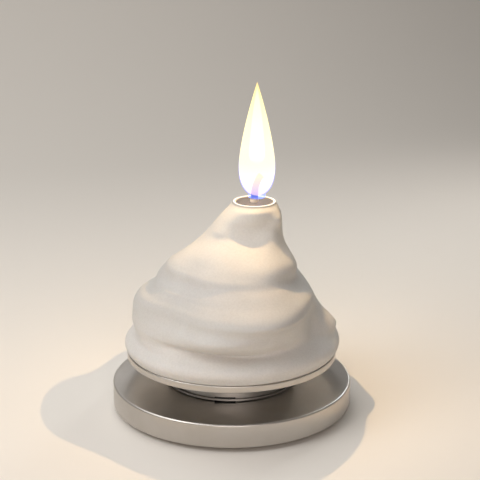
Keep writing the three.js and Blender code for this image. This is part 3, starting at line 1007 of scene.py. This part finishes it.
fastener = plain_metal("fastener_steel", (0.45, 0.44, 0.43), 0.38)
tinned = plain_metal("tinned_steel", (0.55, 0.54, 0.52), 0.42)
rubber = clear_rubber_material()
black = black_mark_material()
node_materials = {
    "foot_back": rubber,
    "foot_front_left": rubber,
    "foot_front_right": rubber,
    "base_mark": black,
    "hub_mark": black,
    "hub_screw": fastener,
    "hub_screw_washer": fastener,
    "plate_screw_1": fastener,
    "plate_screw_2": fastener,
    "plate_screw_3": fastener,
    "wick_sustainer": tinned,
}
for node_name, material in node_materials.items():
    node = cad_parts[node_name]
    node.data.materials.clear()
    node.data.materials.append(material)

# ---------------------------------------------------------------- floor and light

# The floor and its sweep, in metres.
FLOOR_FRONT = -3.0
FLOOR_FLAT_TO = 0.34
FLOOR_HALF_WIDTH = 3.0
SWEEP_RADIUS = 0.4
SWEEP_RISE_DEG = 80.0
SWEEP_STEPS = 24
SWEEP_TURN_DEG = 16.0


def floor_visual():
    """A plain floor that sweeps up behind the candle, turned a little about the upright."""
    rows = [(FLOOR_FRONT, 0.0), (FLOOR_FLAT_TO, 0.0)]
    for i in range(1, SWEEP_STEPS + 1):
        angle = math.radians(SWEEP_RISE_DEG * i / SWEEP_STEPS)
        rows.append(
            (
                FLOOR_FLAT_TO + SWEEP_RADIUS * math.sin(angle),
                SWEEP_RADIUS * (1 - math.cos(angle)),
            )
        )
    turn = math.radians(SWEEP_TURN_DEG)
    vertices = []
    for y, z in rows:
        for x in (-FLOOR_HALF_WIDTH, FLOOR_HALF_WIDTH):
            across = x * math.cos(turn) - (y - FLOOR_FLAT_TO) * math.sin(turn)
            away = x * math.sin(turn) + (y - FLOOR_FLAT_TO) * math.cos(turn) + FLOOR_FLAT_TO
            vertices.append((across / MM, away / MM, z / MM))
    faces = [(2 * k, 2 * k + 1, 2 * k + 3, 2 * k + 2) for k in range(len(rows) - 1)]
    return mesh_object("floor", vertices, faces, 180.0)


floor = floor_visual()
floor_material, floor_tree, floor_output = new_material("floor")
floor_shader = add(
    floor_tree,
    "ShaderNodeBsdfPrincipled",
    {"Base Color": colour(0.795, 0.750, 0.688), "Roughness": 0.85, "Specular IOR Level": 0.1},
)
floor_tree.links.new(floor_shader.outputs["BSDF"], floor_output.inputs["Surface"])
floor.data.materials.append(floor_material)


def area_light(name, place, aim, size, power, tint, spread_deg=180.0):
    """A soft square light that the camera doesn't see. A small spread makes it narrow."""
    data = bpy.data.lights.new(name, "AREA")
    data.shape = "SQUARE"
    data.size = size
    data.energy = power
    data.color = tint
    data.spread = math.radians(spread_deg)
    obj = bpy.data.objects.new(name, data)
    obj.location = place
    obj.rotation_euler = (Vector(aim) - Vector(place)).to_track_quat("-Z", "Y").to_euler()
    obj.visible_camera = False
    bpy.context.scene.collection.objects.link(obj)
    return obj


# Each light: place, aim and size in metres, power in watts, tint and, if it is narrow, its
# spread in degrees. right_floor lights the floor at the right and backdrop the sweep.
STUDIO_LIGHTS = {
    "key": ((-0.367, -0.212, 0.454), (0.0, 0.0, 0.03), 0.35, 1.84, (1.0, 1.0, 1.0)),
    "front_fill": ((0.0, -0.564, 0.235), (0.0, 0.0, 0.03), 0.35, 1.26, (1.0, 0.91, 0.87)),
    "back_top": ((-0.107, 0.230, 0.574), (0.0, 0.0, 0.03), 0.35, 1.20, (1.0, 1.0, 1.0)),
    "right": ((0.418, 0.074, 0.454), (0.0, 0.0, 0.03), 0.35, 0.30, (1.0, 0.95, 0.90)),
    "right_back": ((0.24, 0.42, 0.27), (0.0, 0.0, 0.01), 0.12, 0.035, (0.95, 1.0, 1.0), 50.0),
    "right_floor": ((0.30, 0.28, 0.22), (0.17, 0.24, 0.0), 0.12, 0.022, (1.0, 0.97, 0.94), 60.0),
    "backdrop": ((-0.45, 0.10, 0.70), (-0.25, 0.55, 0.1), 0.30, 0.64, (1.0, 0.98, 0.95)),
}
for light_name, settings in STUDIO_LIGHTS.items():
    area_light(light_name, *settings)

# Two lights that only the base disc catches, as soft streaks on its turned face.
STREAK_LIGHTS = {
    "left_streak": ((-0.36, 0.10, 0.46), (0.0, 0.0, 0.01), 0.12, 0.10, (1.0, 0.97, 0.93)),
    "right_streak": ((0.26, 0.45, 0.29), (0.0, 0.0, 0.01), 0.12, 0.06, (1.0, 0.97, 0.93)),
}
for light_name, settings in STREAK_LIGHTS.items():
    streak = area_light(light_name, *settings)
    caught_by = bpy.data.collections.new(light_name + "_caught_by")
    caught_by.objects.link(base_piece)
    streak.light_linking.receiver_collection = caught_by
    streak.light_linking.blocker_collection = caught_by

glow_data = bpy.data.lights.new("flame_light", "POINT")
glow_data.energy = 0.172
glow_data.color = (1.0, 0.67, 0.32)
glow_data.shadow_soft_size = 0.25 * MM
glow_data.use_nodes = True
glow_tree = glow_data.node_tree
glow_fall = add(glow_tree, "ShaderNodeLightFalloff", {"Strength": 1.0, "Smooth": 0.0015})
glow_tree.links.new(
    glow_fall.outputs["Quadratic"], glow_tree.nodes["Emission"].inputs["Strength"]
)
glow = bpy.data.objects.new("flame_light", glow_data)
glow.location = (FLAME_CENTRE_X * MM, 0.0, FLAME_LIGHT_HEIGHT * MM)
bpy.context.scene.collection.objects.link(glow)

world = bpy.data.worlds.new("world")
world.use_nodes = True
background = world.node_tree.nodes["Background"]
background.inputs["Color"].default_value = colour(0.55, 0.54, 0.52)
background.inputs["Strength"].default_value = 0.05
bpy.context.scene.world = world

# ---------------------------------------------------------------- camera

# Fitted to the circles of the stand in the photo: metres, and degrees right and down.
CAMERA_PLACE = Vector((0.0, -0.44009, 0.19310))
CAMERA_YAW_DEG = 0.366
CAMERA_DOWN_DEG = 17.113

camera_data = bpy.data.cameras.new("camera")
camera_data.lens = 105.0
camera_data.sensor_width = 36.0
camera_data.clip_start = 0.01
camera = bpy.data.objects.new("camera", camera_data)
camera.location = CAMERA_PLACE
yaw, down = math.radians(CAMERA_YAW_DEG), math.radians(CAMERA_DOWN_DEG)
look = Vector((math.sin(yaw) * math.cos(down), math.cos(yaw) * math.cos(down), -math.sin(down)))
camera.rotation_euler = look.to_track_quat("-Z", "Y").to_euler()
bpy.context.scene.collection.objects.link(camera)
bpy.context.scene.camera = camera

bpy.context.scene.view_settings.view_transform = "Standard"
bpy.context.scene.cycles.transparent_max_bounces = 16
